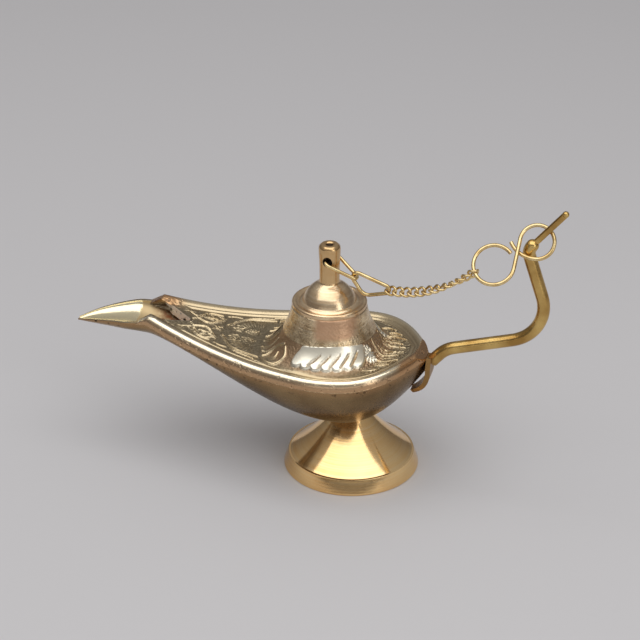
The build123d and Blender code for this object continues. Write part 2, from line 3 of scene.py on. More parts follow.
import bpy
import numpy as np
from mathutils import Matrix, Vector


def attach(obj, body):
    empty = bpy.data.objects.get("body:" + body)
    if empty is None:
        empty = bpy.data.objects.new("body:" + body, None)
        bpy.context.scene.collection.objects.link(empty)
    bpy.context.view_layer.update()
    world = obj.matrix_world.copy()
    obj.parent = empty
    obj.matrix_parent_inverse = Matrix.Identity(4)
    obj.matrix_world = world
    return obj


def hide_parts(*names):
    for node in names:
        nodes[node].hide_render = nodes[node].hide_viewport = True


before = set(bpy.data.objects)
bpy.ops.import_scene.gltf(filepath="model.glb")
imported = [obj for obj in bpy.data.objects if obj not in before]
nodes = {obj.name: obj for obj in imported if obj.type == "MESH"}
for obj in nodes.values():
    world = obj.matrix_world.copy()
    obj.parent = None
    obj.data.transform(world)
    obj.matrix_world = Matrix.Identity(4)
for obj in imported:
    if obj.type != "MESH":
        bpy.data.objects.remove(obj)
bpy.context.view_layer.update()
mm = 0.001
print("frame loaded,", len(nodes), "nodes")


# working habits: everything is deselected before a new piece is started
def deselectAll():
    if bpy.context.mode != "OBJECT":
        bpy.ops.object.mode_set(mode="OBJECT")
    bpy.ops.object.select_all(action="DESELECT")


def activate(piece):
    deselectAll()
    piece.select_set(True)
    bpy.context.view_layer.objects.active = piece


def editAll(piece):
    activate(piece)
    bpy.ops.object.mode_set(mode="EDIT")
    bpy.ops.mesh.select_all(action="SELECT")


def settle(piece, smoothAngle=35):
    bpy.ops.object.mode_set(mode="OBJECT")
    activate(piece)
    bpy.ops.object.transform_apply(location=True, rotation=True, scale=True)
    bpy.ops.object.shade_smooth_by_angle(angle=math.radians(smoothAngle))
    return piece


def applyAll(piece):
    activate(piece)
    for modifier in list(piece.modifiers):
        bpy.ops.object.modifier_apply(modifier=modifier.name)


def softenEdges(piece, width, angle, segments=3):
    bevel = piece.modifiers.new("edges", "BEVEL")
    bevel.width = width * mm
    bevel.segments = segments
    bevel.limit_method = "ANGLE"
    bevel.angle_limit = math.radians(angle)
    applyAll(piece)


def setMark(piece, name, values):
    mark = piece.data.attributes.new(name, "FLOAT", "POINT")
    mark.data.foreach_set("value", np.asarray(values, np.float32))


def meshPoints(piece):
    points = np.zeros(len(piece.data.vertices) * 3)
    piece.data.vertices.foreach_get("co", points)
    return points.reshape(-1, 3) / mm


def arcThrough(first, middle, last, count):
    # points on the circle through three (r, z) points
    (ax, ay), (bx, by), (cx, cy) = first, middle, last
    d = 2 * (ax * (by - cy) + bx * (cy - ay) + cx * (ay - by))
    aa, bb, cc = ax * ax + ay * ay, bx * bx + by * by, cx * cx + cy * cy
    ox = (aa * (by - cy) + bb * (cy - ay) + cc * (ay - by)) / d
    oy = (aa * (cx - bx) + bb * (ax - cx) + cc * (bx - ax)) / d
    radius = math.hypot(ax - ox, ay - oy)
    start = math.atan2(ay - oy, ax - ox)
    turn = (math.atan2(cy - oy, cx - ox) - start + math.pi) % (2 * math.pi) - math.pi
    angles = [start + turn * i / (count - 1) for i in range(count)]
    return [(ox + radius * math.cos(a), oy + radius * math.sin(a)) for a in angles]


def unit(value):
    return np.clip(value, 0, 1)


def eased(value):
    return value * value * (3 - 2 * value)


def hump(distance, width):
    return np.exp(-((distance / width) ** 2))


# a circle raised ring by ring along a profile of (radius, height)
lathe = {"steps": 144, "weld": 0.005}


def turnPiece(name, profile, x=0.0, steps=lathe["steps"], closed=True):
    deselectAll()
    radius, height = profile[0]
    centre = (x * mm, 0, 0)
    bpy.ops.mesh.primitive_circle_add(
        vertices=steps, radius=radius * mm, location=(x * mm, 0, height * mm),
    )
    piece = bpy.context.object
    piece.name = name
    bpy.ops.object.transform_apply(location=True, rotation=True, scale=True)
    editAll(piece)
    for nextRadius, nextHeight in profile[1:]:
        lift = (0, 0, (nextHeight - height) * mm)
        bpy.ops.mesh.extrude_edges_move(TRANSFORM_OT_translate={"value": lift})
        grow = nextRadius / radius
        bpy.ops.transform.resize(value=(grow, grow, 1), center_override=centre)
        radius, height = nextRadius, nextHeight
    if not closed:
        bpy.ops.mesh.edge_face_add()
    bpy.ops.mesh.select_all(action="SELECT")
    bpy.ops.mesh.remove_doubles(threshold=lathe["weld"] * mm)
    bpy.ops.mesh.normals_make_consistent(inside=False)
    return settle(piece)


# lines of the body, repeated from the part in millimetres
body = {
    "bellyX": -4.0, "bellyHalf": 24.6, "bellyRound": 8.0, "taper": 0.315,
    "sternX": 23.2, "sternPoint": 24.2, "sternFull": 2.75, "filedX": 20.4,
    "sheerLowX": -20.0, "sheerLow": 40.0, "sheerFront": 46.9, "sheerStern": 43.0, "rim": 3.0,
    "throatX": -62.0, "throatKeel": 38.2, "tipX": -87.0, "tipLip": 39.1,
    "bottom": 18.0, "sternKeel": 36.0, "sternRise": 1.9, "frontRise": 1.15, "wall": 1.4,
    "beakSpread": 2.4, "beakShoulder": 0.35, "beakFade": 5, "beakKeelRise": 0.8,
}


def beakShare(x):
    # 0 at the throat, 1 at the tip
    return unit((body["throatX"] - x) / (body["throatX"] - body["tipX"]))


def beakSwell(x):
    share = beakShare(x)
    start = unit(share / body["beakShoulder"])
    return eased(start) * (1 - share ** body["beakFade"])


def halfWidth(x):
    x = np.asarray(x, float)
    aft = unit((x - body["bellyX"]) / (body["sternPoint"] - body["bellyX"]))
    ahead = np.clip(body["bellyX"] - x, 0, None)
    rear = body["bellyHalf"] * (1 - aft ** body["sternFull"])
    narrowed = body["taper"] * (np.hypot(ahead, body["bellyRound"]) - body["bellyRound"])
    front = body["bellyHalf"] - narrowed + body["beakSpread"] * beakSwell(x)
    return np.where(x >= body["bellyX"], rear, front)


def sheer(x):
    x = np.asarray(x, float)
    aft = (x - body["sheerLowX"]) / (body["sternX"] - body["sheerLowX"])
    ahead = (x - body["sheerLowX"]) / (body["throatX"] - body["sheerLowX"])
    rear = body["sheerLow"] + (body["sheerStern"] - body["sheerLow"]) * aft**2
    front = body["sheerLow"] + (body["sheerFront"] - body["sheerLow"]) * ahead**2
    return np.where(x >= body["sheerLowX"], rear, front)


def seam(x):
    x = np.asarray(x, float)
    throatSeam = body["sheerFront"] - body["rim"]
    lip = body["tipLip"] + (throatSeam - body["tipLip"]) * (1 - beakShare(x) ** 2)
    return np.where(x >= body["throatX"], sheer(x) - body["rim"], lip)


def keel(x):
    x = np.asarray(x, float)
    aft = unit(x / body["sternX"]) ** body["sternRise"]
    ahead = unit(x / body["throatX"]) ** body["frontRise"]
    rear = body["bottom"] + (body["sternKeel"] - body["bottom"]) * aft
    front = body["bottom"] + (body["throatKeel"] - body["bottom"]) * eased(ahead)
    front = front + body["beakKeelRise"] * beakSwell(x)
    return np.where(x >= 0, rear, front)


# lower bowl: half a circle drawn out along the keel, each ring scaled to its own width and depth
bowl = {
    "rings": 96, "arcSteps": 56, "evenly": 0.5, "shrink": 0.25, "lipSoft": 0.35, "lipAngle": 50,
    "thinX": -66.0, "thinRun": 21.0, "thinBy": 0.78,  # the wall gets thinner towards the tip
    "pick": 0.01, "seamBand": 2.6, "patchX": -69.5, "patchFade": 2.5, "slotX": -64.5, "slotFade": 5.0,
}


def startBowl():
    deselectAll()
    bpy.ops.mesh.primitive_circle_add(
        vertices=2 * bowl["arcSteps"], radius=1.0, rotation=(0, math.pi / 2, 0),
    )
    piece = bpy.context.object
    piece.name = "hullBowl"
    bpy.ops.object.transform_apply(location=True, rotation=True, scale=True)
    bpy.ops.object.mode_set(mode="EDIT")
    bpy.ops.mesh.select_all(action="DESELECT")
    bpy.ops.object.mode_set(mode="OBJECT")
    for vertex in piece.data.vertices:
        vertex.select = vertex.co.z > bowl["pick"]
    bpy.ops.object.mode_set(mode="EDIT")
    bpy.ops.mesh.delete(type="VERT")  # the upper half goes, the belly stays
    bpy.ops.mesh.select_all(action="SELECT")
    return piece


def closeStern(piece, top):
    bpy.ops.mesh.edge_face_add()  # flat facet where the handle is brazed
    bpy.ops.mesh.select_mode(type="EDGE")
    bpy.ops.mesh.select_all(action="DESELECT")
    bpy.ops.object.mode_set(mode="OBJECT")
    for edge in piece.data.edges:  # the rounded edge goes on, the straight one on top stays
        ends = [piece.data.vertices[i].co for i in edge.vertices]
        edge.select = not all(abs(c.z - top) < bowl["pick"] * mm for c in ends)
    bpy.ops.object.mode_set(mode="EDIT")


def makeBowl():
    piece = startBowl()
    shares = np.linspace(0, 1, bowl["rings"])
    bunched = (1 - np.cos(math.pi * shares)) / 2  # closer rings at stern and tip
    run = bowl["evenly"] * shares + (1 - bowl["evenly"]) * bunched
    stations = body["sternX"] + (body["tipX"] - body["sternX"]) * run
    wide, deep, x, top = 1.0, 1.0, 0.0, 0.0
    for number, station in enumerate(stations):
        nextWide = float(halfWidth(station) - bowl["shrink"]) * mm
        nextDeep = float(seam(station) - keel(station)) * mm
        move = (float(station) * mm - x, 0, float(seam(station)) * mm - top)
        if number == 0:
            bpy.ops.transform.translate(value=move)
        else:
            bpy.ops.mesh.extrude_edges_move(TRANSFORM_OT_translate={"value": move})
        x, top = x + move[0], top + move[2]
        grow = (1, nextWide / wide, nextDeep / deep)
        bpy.ops.transform.resize(value=grow, center_override=(x, 0, top))
        wide, deep = nextWide, nextDeep
        if number == 0:
            closeStern(piece, top)
    bpy.ops.mesh.select_all(action="SELECT")
    bpy.ops.mesh.normals_make_consistent(inside=False)
    bpy.ops.object.mode_set(mode="OBJECT")
    thin = piece.vertex_groups.new(name="thin")
    for vertex in piece.data.vertices:
        out = unit((bowl["thinX"] - vertex.co.x / mm) / bowl["thinRun"])
        thin.add([vertex.index], float(1 - bowl["thinBy"] * out), "REPLACE")
    wall = piece.modifiers.new("wall", "SOLIDIFY")
    wall.thickness = body["wall"] * mm
    wall.offset = -1
    wall.vertex_group = "thin"
    applyAll(piece)
    softenEdges(piece, bowl["lipSoft"], bowl["lipAngle"])
    return settle(piece)


def markBowl(piece):
    # which points are in the trough, near the slot, or just under the seam
    x, y, z = meshPoints(piece).T
    normals = np.zeros(len(piece.data.vertices) * 3)
    piece.data.vertex_normals.foreach_get("vector", normals)
    facing = normals.reshape(-1, 3)
    wide, top = halfWidth(x) - bowl["shrink"], seam(x)
    deep = top - keel(x)
    outward = y / wide**2 * facing[:, 1] + (z - top) / deep**2 * facing[:, 2]
    inside = (outward < 0).astype(float)
    setMark(piece, "inside", inside)
    setMark(piece, "underSeam", unit(1 - (top - z) / bowl["seamBand"]) * (1 - inside))
    setMark(piece, "patch", unit((x - bowl["patchX"]) / bowl["patchFade"]) * inside)
    setMark(piece, "slot", unit((x - bowl["slotX"]) / bowl["slotFade"]) * inside)


hullBowl = makeBowl()
markBowl(hullBowl)
print("hull bowl", len(hullBowl.data.polygons), "faces")


# ornament strokes on the deck, in millimetres, for the side with +Y; each is mirrored
# (points, half width, height)
ornament = {
    "budLower": ([(-49.0, 2.5), (-44.9, 1.5), (-41.1, 6.2)], 0.5, 0.62),
    "budUpper": ([(-48.6, 3.7), (-46.5, 6.9), (-42.4, 7.7)], 0.5, 0.62),
    "budVeinA": ([(-46.8, 4.0), (-45.0, 4.3), (-43.2, 4.3)], 0.42, 0.6),
    "budVeinB": ([(-45.8, 6.2), (-43.8, 4.7), (-41.6, 4.4)], 0.36, 0.5),
    "budVeinC": ([(-43.8, 7.0), (-42.4, 6.2), (-41.4, 5.6)], 0.34, 0.5),
    "budStem": ([(-52.6, 4.9), (-50.6, 3.9), (-49.0, 3.0)], 0.34, 0.42),
    "budBase": ([(-50.4, 1.0), (-49.4, 2.0), (-48.0, 2.3)], 0.3, 0.4),
    "innerLeaf": ([(-40.6, 1.0), (-42.4, 0.5), (-43.4, 1.0)], 0.34, 0.42),
    "borderA": ([(-39.6, 3.2), (-34.8, 9.0), (-26.4, 11.6)], 0.45, 0.6),
    "borderB": ([(-38.6, 5.6), (-34.4, 10.2), (-27.4, 12.8)], 0.28, 0.42),
    "borderTip": ([(-41.0, 8.2), (-38.8, 9.2), (-36.6, 9.4)], 0.3, 0.4),
    "collarA": ([(-27.2, 1.2), (-24.6, 2.4), (-21.8, 3.0)], 0.5, 0.62),
    "collarB": ([(-26.8, 5.0), (-24.2, 5.9), (-21.4, 5.6)], 0.5, 0.62),
    "collarC": ([(-25.6, 0.4), (-23.8, 0.7), (-21.6, 0.6)], 0.36, 0.5),
    "collarD": ([(-26.2, 7.4), (-24.2, 7.9), (-22.2, 7.5)], 0.34, 0.5),
    "scrollOut": (
        [(-18.0, 10.8), (-17.9, 13.2), (-20.6, 14.4), (-23.3, 13.6), (-25.4, 11.8)], 0.72, 0.7,
    ),
    "scrollTop": ([(-18.6, 9.6), (-21.6, 8.3), (-25.2, 10.2)], 0.6, 0.62),
    "scrollEye": ([(-22.9, 11.5), (-21.2, 11.9), (-20.3, 10.6)], 0.5, 0.6),
    "scrollTail": ([(-27.6, 13.3), (-25.0, 14.2), (-22.6, 15.4)], 0.3, 0.42),
    "rearA": ([(6.6, 3.1), (10.6, 4.4), (15.0, 3.4)], 0.55, 0.62),
    "rearB": ([(7.4, 6.6), (11.4, 7.9), (15.4, 6.4)], 0.55, 0.62),
    "rearC": ([(9.6, 1.2), (12.8, 1.7), (16.2, 1.2)], 0.45, 0.6),
    "rearD": ([(9.4, 10.3), (11.4, 10.4), (13.4, 9.4)], 0.5, 0.6),
    "rearE": ([(6.4, 13.6), (8.8, 13.6), (11.0, 12.4)], 0.42, 0.5),
    "rearVeinA": ([(8.2, 4.9), (11.0, 5.9), (13.8, 5.1)], 0.3, 0.42),
    "rearVeinB": ([(8.4, 8.6), (10.8, 9.2), (13.4, 8.2)], 0.3, 0.42),
    "rearVeinC": ([(8.6, 2.0), (11.0, 2.6), (13.4, 2.2)], 0.3, 0.42),
}
palmette = {
    "centre": (-29.2, 0.6), "inner": 5.7, "outer": 9.2, "shorter": 0.8, "half": 0.24, "height": 0.32,
    "rays": (92, 100, 107, 115, 122, 130, 137, 145, 152, 160, 167, 174),
    "veins": (105, 120, 135, 150, 165), "veinInner": 1.6, "veinOuter": 5.0,
}
acanthus = {
    "angles": (107, 96, 85, 74, 63, 52, 41), "radii": (15.2, 16.0, 16.9), "lean": (-3.0, 2.4, 7.0),
    "half": 1.75, "height": 0.78, "flatten": 1.7,
    "band": (110, 34, 9), "bandRadius": 14.6, "bandHalf": 1.1, "bulge": (105.0, 15.2, 2.1),
    "grooves": (90.5, 79.5, 68.5, 57.5, 46.5), "grooveRadii": (15.0, 16.1, 17.4),
    "grooveLean": (-4.0, 2.4, 8.5), "grooveHalf": 0.3, "grooveCut": 1.6, "grooveDeep": 0.95,
}
rosette = {
    "angle": 28.0, "distance": 16.2, "radius": 2.1, "petals": 11, "petalDeep": 0.35, "height": 0.78,
}
stroke = {"slim": 0.74, "endWidth": 0.45, "endHeight": 0.6, "swellFrom": 0.12, "swellRun": 0.8}


def smoothLine(points, count=10):
    # points along a soft curve through the given ones
    pts = [np.array(p, float) for p in points]
    pts = [2 * pts[0] - pts[1]] + pts + [2 * pts[-1] - pts[-2]]
    line = []
    for a, b, c, d in zip(pts, pts[1:], pts[2:], pts[3:]):
        square, cube = 2 * a - 5 * b + 4 * c - d, 3 * b - a - 3 * c + d
        for t in np.linspace(0, 1, count, endpoint=False):
            line.append(0.5 * (2 * b + (c - a) * t + square * t**2 + cube * t**3))
    line.append(pts[-2])
    return np.array(line)


def strokeHeight(x, y, points, half, height):
    # a rounded ridge along the line, narrower and lower towards its ends
    line = smoothLine(points)
    low, high = line.min(0) - half, line.max(0) + half
    near = np.flatnonzero((x > low[0]) & (x < high[0]) & (y > low[1]) & (y < high[1]))
    result = np.zeros_like(x)
    if not len(near):
        return result
    px, py = x[near], y[near]
    best = np.zeros(len(near))
    shares = np.linspace(0, 1, len(line))
    for start, end, share in zip(line[:-1], line[1:], shares[:-1]):
        run = end - start
        t = unit(((px - start[0]) * run[0] + (py - start[1]) * run[1]) / (run @ run))
        gap = np.hypot(px - start[0] - t * run[0], py - start[1] - t * run[1])
        arch = math.sin(math.pi * min(1, stroke["swellFrom"] + stroke["swellRun"] * share))
        swell = half * (stroke["endWidth"] + (1 - stroke["endWidth"]) * arch)
        tall = stroke["endHeight"] + (1 - stroke["endHeight"]) * swell / half
        best = np.maximum(best, np.sqrt(unit(1 - (gap / swell) ** 2)) * tall)
    result[near] = best * height
    return result


neck = {
    "x": -7.0, "skirt": 19.4, "skirtZ": 39.2, "waist": 13.2, "waistZ": 47.2, "lip": 11.3, "lipZ": 53.9,
    "bore": 8.7, "boreZ": 47.9, "flareSteps": 40, "outRun": 4, "outZ": 34.0,
}
flarePoints = arcThrough(
    (neck["lip"], neck["lipZ"]), (neck["waist"], neck["waistZ"]), (neck["skirt"], neck["skirtZ"]),
    neck["flareSteps"],
)
flareRadii = [r for r, z in flarePoints] + [neck["skirt"] + neck["outRun"]]
flareHeights = [z for r, z in flarePoints] + [neck["outZ"]]


def aroundNeck(angle, radius):
    turn = math.radians(angle)
    return neck["x"] + radius * math.cos(turn), radius * math.sin(turn)


def leaning(angle, radii, leans):
    return [aroundNeck(angle + lean, radius) for radius, lean in zip(radii, leans)]


def leafHeight(x, side):
    # acanthus lobes lean over the flare of the neck and grow from one band
    tall = acanthus["height"]
    total = np.zeros_like(x)
    ridges = [
        (leaning(angle, acanthus["radii"], acanthus["lean"]), acanthus["half"])
        for angle in acanthus["angles"]
    ]
    band = [aroundNeck(angle, acanthus["bandRadius"]) for angle in np.linspace(*acanthus["band"])]
    for path, half in ridges + [(band, acanthus["bandHalf"])]:
        ridge = acanthus["flatten"] * strokeHeight(x, side, path, half, tall)
        total = np.maximum(total, np.minimum(ridge, tall))
    angle, distance, radius = acanthus["bulge"]
    bx, by = aroundNeck(angle, distance)
    far = np.hypot(x - bx, side - by) / radius
    total = np.maximum(total, np.sqrt(unit(1 - far**2)) * tall)
    for angle in acanthus["grooves"]:
        path = leaning(angle, acanthus["grooveRadii"], acanthus["grooveLean"])
        cut = acanthus["grooveCut"] * strokeHeight(x, side, path, acanthus["grooveHalf"], 1.0)
        total *= 1 - np.clip(cut, 0, acanthus["grooveDeep"])
    rx, ry = aroundNeck(rosette["angle"], rosette["distance"])
    dx, dy = x - rx, side - ry
    far = np.hypot(dx, dy) / rosette["radius"]
    wave = np.cos(rosette["petals"] * np.arctan2(dy, dx)) * rosette["petalDeep"] * unit(far * 2)
    petal = wave + (1 - rosette["petalDeep"])
    shell = np.sqrt(unit(1 - far**2)) * petal * rosette["height"]
    return np.maximum(total, np.where(far < 1, shell, 0))


def reliefHeight(x, y):
    side = np.abs(y)
    total = leafHeight(x, side)
    for points, half, height in ornament.values():
        total = np.maximum(total, strokeHeight(x, side, points, stroke["slim"] * half, height))
    cx, cy = palmette["centre"]
    fans = [(angle, palmette["veinInner"], palmette["veinOuter"]) for angle in palmette["veins"]]
    for number, angle in enumerate(palmette["rays"]):
        outer = palmette["outer"] - palmette["shorter"] * (number % 2)  # every other ray is shorter
        fans.append((angle, palmette["inner"], outer))
    for angle, inner, outer in fans:
        turn = math.radians(angle)
        ray = [(cx + r * math.cos(turn), cy + r * math.sin(turn)) for r in (inner, outer)]
        total = np.maximum(total, strokeHeight(x, side, ray, palmette["half"], palmette["height"]))
    return total


# deck: a grid laid out as rings from the rim in to the neck, with its own underside
deck = {
    "bead": 4.7, "beadShare": 0.55, "crest": 0.4, "recess": 0.85,
    "groove": 0.35, "grooveWidth": 0.45, "line": 0.16, "lineIn": 1.1, "lineWidth": 0.28,
    "crown": 0.15, "crownRun": 6.0, "crownX": -18.0, "crownFade": 12.0,
    "flareSoft": 0.6, "flareOut": 3, "flareSink": 0.15,
    "notchX": -50.0, "notchHalf": 6.8, "rimEndX": -61.0, "rimFrontX": -65.5,
    "topRings": 150, "evenly": 0.75, "underRings": 7, "inner": 12.6,
    "sideRays": 290, "frontTurn": 0.78, "frontShare": 0.45, "rimSamples": 4000,
    "sternSteps": (0.0, 0.4, 0.75), "frontSteps": (0.3, 0.65, 1.0), "armSteps": (0.5, 1.0),
    "notchSteps": (0.1, 1, 16), "slopeRun": 0.2, "edgeShare": 0.001,
    "carveIn": 0.3, "carveFade": 0.8, "groundSink": 0.25,
    "thick": 1.6, "rimGrow": 6, "rimThin": 0.12, "cutThick": 3.4, "cutFade": 0.25,
    "armX": -60.0, "armSink": 0.3, "armThin": 0.1, "weld": 0.004, "smoothAngle": 60,
}
deckMarks = {
    "slopeShare": 0.55, "crestHighlightShare": 0.7, "crestHighlightWidth": 0.75, "reliefFull": 0.32, "leafHighlightFull": 0.45,
    "stippleX": 3, "stippleFade": 5, "skirtOut": 0.5, "skirtFade": 2.5,
    "armX": -54.0, "armFade": 4.0, "rimX": 15.5, "rimFade": 2.0, "rimWide": 3.2, "sternEdge": 0.1,
}


def deckOutline():
    # plan of one side, from the middle of the stern to the point of the notch
    stern = [(body["sternX"], t * float(halfWidth(body["sternX"]))) for t in deck["sternSteps"]]
    bow = float(halfWidth(deck["rimFrontX"]))
    xs = np.linspace(body["sternX"], deck["rimFrontX"], deck["rimSamples"])
    facing = np.arctan2(halfWidth(xs), xs - neck["x"])
    # more rays towards the beak, where the ornament is far from the neck
    knee = facing[0] + (facing[-1] - facing[0]) * deck["frontTurn"]
    shares = np.linspace(0.0, 1.0, deck["sideRays"])
    wanted = np.interp(shares, [0, 1 - deck["frontShare"], 1], [facing[0], knee, facing[-1]])
    rim = [(float(x), float(halfWidth(x))) for x in np.interp(wanted, facing, xs)]
    run = deck["rimEndX"] - deck["rimFrontX"]
    inner = deck["notchHalf"] - run * body["taper"]
    front = [(deck["rimFrontX"], bow + (inner - bow) * t) for t in deck["frontSteps"]]
    arm = [
        (deck["rimFrontX"] + run * t, inner + (deck["notchHalf"] - inner) * t)
        for t in deck["armSteps"]
    ]
    back = deck["notchX"] - deck["rimEndX"]
    notch = [
        (deck["rimEndX"] + back * t, deck["notchHalf"] * (1 - t))
        for t in np.linspace(*deck["notchSteps"])
    ]
    cut = len(stern) + len(rim) + 2  # from here on the edge is a sawn face
    return stern + rim + front + arm + notch, cut


def beadHeight(x, inset, bead, crestAt):
    # round bead, a fine groove where it meets the field, then a slightly crowned field
    rise = unit(inset / crestAt)
    fall = unit((inset - crestAt) / (bead - crestAt))
    outer = seam(x) + body["rim"] * np.sqrt(1 - (1 - rise) ** 2)
    inner = sheer(x) - deck["recess"] * eased(fall)
    z = np.where(inset < crestAt, outer, inner)
    z -= deck["groove"] * hump(inset - bead, deck["grooveWidth"])
    z -= deck["line"] * hump(inset - bead + deck["lineIn"], deck["lineWidth"])
    field = eased(unit((inset - bead) / deck["crownRun"]))
    return z + deck["crown"] * field * unit((deck["crownX"] - x) / deck["crownFade"])


def deckHeight(x, y):
    # height of the top, and the marks that follow from the distance to the rim
    width = halfWidth(x)
    run = deck["slopeRun"]
    slope = (halfWidth(x + run) - halfWidth(x - run)) / (2 * run)
    inset = (width - np.abs(y)) / np.sqrt(1 + slope**2)
    inset = np.clip(np.minimum(inset, body["sternX"] - x), 0, None)
    bead = np.minimum(deck["bead"], deck["beadShare"] * width)
    crestAt = deck["crest"] * bead
    z = beadHeight(x, inset, bead, crestAt)
    radius = np.hypot(x - neck["x"], y)
    flare = np.interp(radius, flareRadii, flareHeights)
    soft = deck["flareSoft"]
    raised = np.log(np.exp((z - flare) / soft) + 1) * soft + flare  # soft union of field and flare
    nearNeck = radius < neck["skirt"] + deck["flareOut"]
    z = np.where(nearNeck, np.maximum(z, raised - deck["flareSink"]), z)
    ends = [float(seam(deck["rimFrontX"])), float(sheer(deck["rimEndX"]))]
    plane = np.interp(x, [deck["rimFrontX"], deck["rimEndX"]], ends)
    z = np.where(x < deck["rimEndX"], np.minimum(z, plane), z)
    sternEnds = [float(sheer(body["filedX"])), float(seam(body["sternX"]))]
    sternPlane = np.interp(x, [body["filedX"], body["sternX"]], sternEnds)
    z = np.where(x > body["filedX"], np.minimum(z, sternPlane), z)
    carve = unit((inset - bead - deck["carveIn"]) / deck["carveFade"])
    # painted shade on the bead's lower outer slope; the filed flats are joined to this mark below
    slope = 1 - unit(inset / (deckMarks["slopeShare"] * crestAt))
    # painted highlight: a pale band along the bead where the highlight falls
    crest = hump(inset - deckMarks["crestHighlightShare"] * crestAt, deckMarks["crestHighlightWidth"]) * (1 - carve)
    # filed flats: the far arm's end, the near rim beside the handle, and the stern
    filed = unit((deckMarks["armX"] - x) / deckMarks["armFade"]) * (y > 0)
    nearRim = (y < 0) * (inset < deckMarks["rimWide"])
    filed = filed + unit((x - deckMarks["rimX"]) / deckMarks["rimFade"]) * nearRim
    edge = deckMarks["sternEdge"]
    filed = np.maximum(filed, unit((x - body["filedX"] + edge) / (2 * edge)))
    filed = unit(filed) * (1 - carve)
    return z, carve, np.maximum(slope, filed), crest * (1 - filed)


def makeDeck():
    side, cut = deckOutline()
    outline = np.array(side + [(x, -y) for x, y in side[-2:0:-1]])
    rays = len(outline)
    order = np.minimum(np.arange(rays), rays - np.arange(rays))
    heading = np.arctan2(outline[:, 1], outline[:, 0] - neck["x"])
    inner = np.stack([neck["x"] + deck["inner"] * np.cos(heading), deck["inner"] * np.sin(heading)], 1)
    topShare = np.linspace(0, 1, deck["topRings"])
    topShare = deck["evenly"] * topShare + (1 - deck["evenly"]) * topShare**2
    underShare = np.linspace(1, 0, deck["underRings"])
    rings = len(topShare) + len(underShare)
    deselectAll()
    bpy.ops.mesh.primitive_grid_add(x_subdivisions=rings - 1, y_subdivisions=rays, size=1)
    piece = bpy.context.object
    piece.name = "deckShell"
    flat = meshPoints(piece) * mm
    ring = np.rint((flat[:, 0] + 0.5) * (rings - 1)).astype(int)
    ray = np.rint((flat[:, 1] + 0.5) * rays).astype(int) % rays
    under = ring < len(underShare)
    lowRing = np.clip(ring, 0, len(underShare) - 1)
    topRing = np.clip(ring - len(underShare), 0, None)
    share = np.where(under, underShare[lowRing], topShare[topRing])
    place = outline[ray] + (inner[ray] - outline[ray]) * share[:, None]
    x, y = place[:, 0], place[:, 1]
    z, carve, slope, crest = deckHeight(x, y)
    height = reliefHeight(x, y) * carve
    sawn = order[ray] >= cut
    rimThick = deck["thick"] * np.clip(share * deck["rimGrow"], deck["rimThin"], 1)
    sawnThick = np.interp(share, [0, deck["cutFade"]], [deck["cutThick"], deck["thick"]])
    low = z - np.where(sawn, sawnThick, rimThick)
    armLow = np.minimum(seam(x) - deck["armSink"], z - deck["armThin"])
    low = np.where(x < deck["armX"], np.maximum(low, armLow), low)
    z = np.where(under, low, z + height - deck["groundSink"] * carve)
    piece.data.vertices.foreach_set("co", (np.stack([x, y, z], 1) * mm).ravel())
    skirtIn = neck["skirt"] + deckMarks["skirtOut"] - np.hypot(x - neck["x"], y)
    topMarks = {
        "relief": unit(height / deckMarks["reliefFull"]), "plain": 1 - carve, "slope": slope,
        "crest": crest, "leaf": unit(leafHeight(x, np.abs(y)) * carve / deckMarks["leafHighlightFull"]),
        "stipple": unit((x - deckMarks["stippleX"]) / deckMarks["stippleFade"]) * carve,
        "skirt": unit(skirtIn / deckMarks["skirtFade"]) * carve,
    }
    for name, values in topMarks.items():
        setMark(piece, name, np.where(under, 0, values))
    setMark(piece, "cut", sawn & (share < deck["edgeShare"]) & (x > deck["armX"]))
    piece.data.update()
    editAll(piece)
    bpy.ops.mesh.remove_doubles(threshold=deck["weld"] * mm)
    bpy.ops.mesh.select_all(action="SELECT")
    bpy.ops.mesh.normals_make_consistent(inside=False)
    return settle(piece, deck["smoothAngle"])


deckShell = makeDeck()
print("deck", len(deckShell.data.polygons), "faces")

# neck collar: the flare goes on up to the lip and down into the bore, with a fine step below
collar = {
    "low": 45.7, "step": 0.16, "bottom": 2.0, "ledge": (2.6, 2.4), "under": (13.3, 45.4),
    "lipSoft": 0.3, "boreSoft": 0.2,
}
collarOuter = [(r, z) for r, z in reversed(flarePoints) if z > collar["low"]][:-1]
collarRun = neck["lipZ"] - collar["low"]
collarBottom = (neck["bore"], neck["boreZ"] - collar["bottom"])
ledgeOut, ledgeDown = collar["ledge"]
collarProfile = (
    [collarBottom, (neck["bore"] + ledgeOut, neck["boreZ"] - ledgeDown), collar["under"]]
    + [(r + collar["step"] * (1 - (z - collar["low"]) / collarRun), z) for r, z in collarOuter]
    + [(neck["lip"], neck["lipZ"] - collar["lipSoft"]), (neck["lip"] - collar["lipSoft"], neck["lipZ"])]
    + [(neck["bore"] + collar["boreSoft"], neck["lipZ"])]
    + [(neck["bore"], neck["lipZ"] - collar["boreSoft"]), collarBottom]
)
neckCollar = turnPiece("neckCollar", collarProfile, x=neck["x"])
print("neck collar", len(neckCollar.data.polygons), "faces")

# foot: bevelled rim and hollow cone up to the waist; points are (radius, height)
foot = {
    "rim": [(17.7, 0.0), (20.5, 0.0), (20.7, 0.25), (20.7, 0.55)],
    "bevel": [(20.64, 0.8), (19.36, 4.4), (19.28, 4.68), (19.1, 4.8)],
    "cone": [(18.7, 4.8), (11.7, 10.95), (5.6, 18.0)], "coneSteps": 26,
    "waist": [(6.4, 18.55), (6.6, 18.9), (2.0, 18.9)],
    "hollow": [(2.0, 10.8), (3.8, 10.8), (16.2, 3.0), (17.7, 0.0)],
}
coneArc = arcThrough(*foot["cone"], foot["coneSteps"])
footProfile = foot["rim"] + foot["bevel"] + coneArc + foot["waist"] + foot["hollow"]
turnedFoot = turnPiece("turnedFoot", footProfile)
print("foot", len(turnedFoot.data.polygons), "faces")

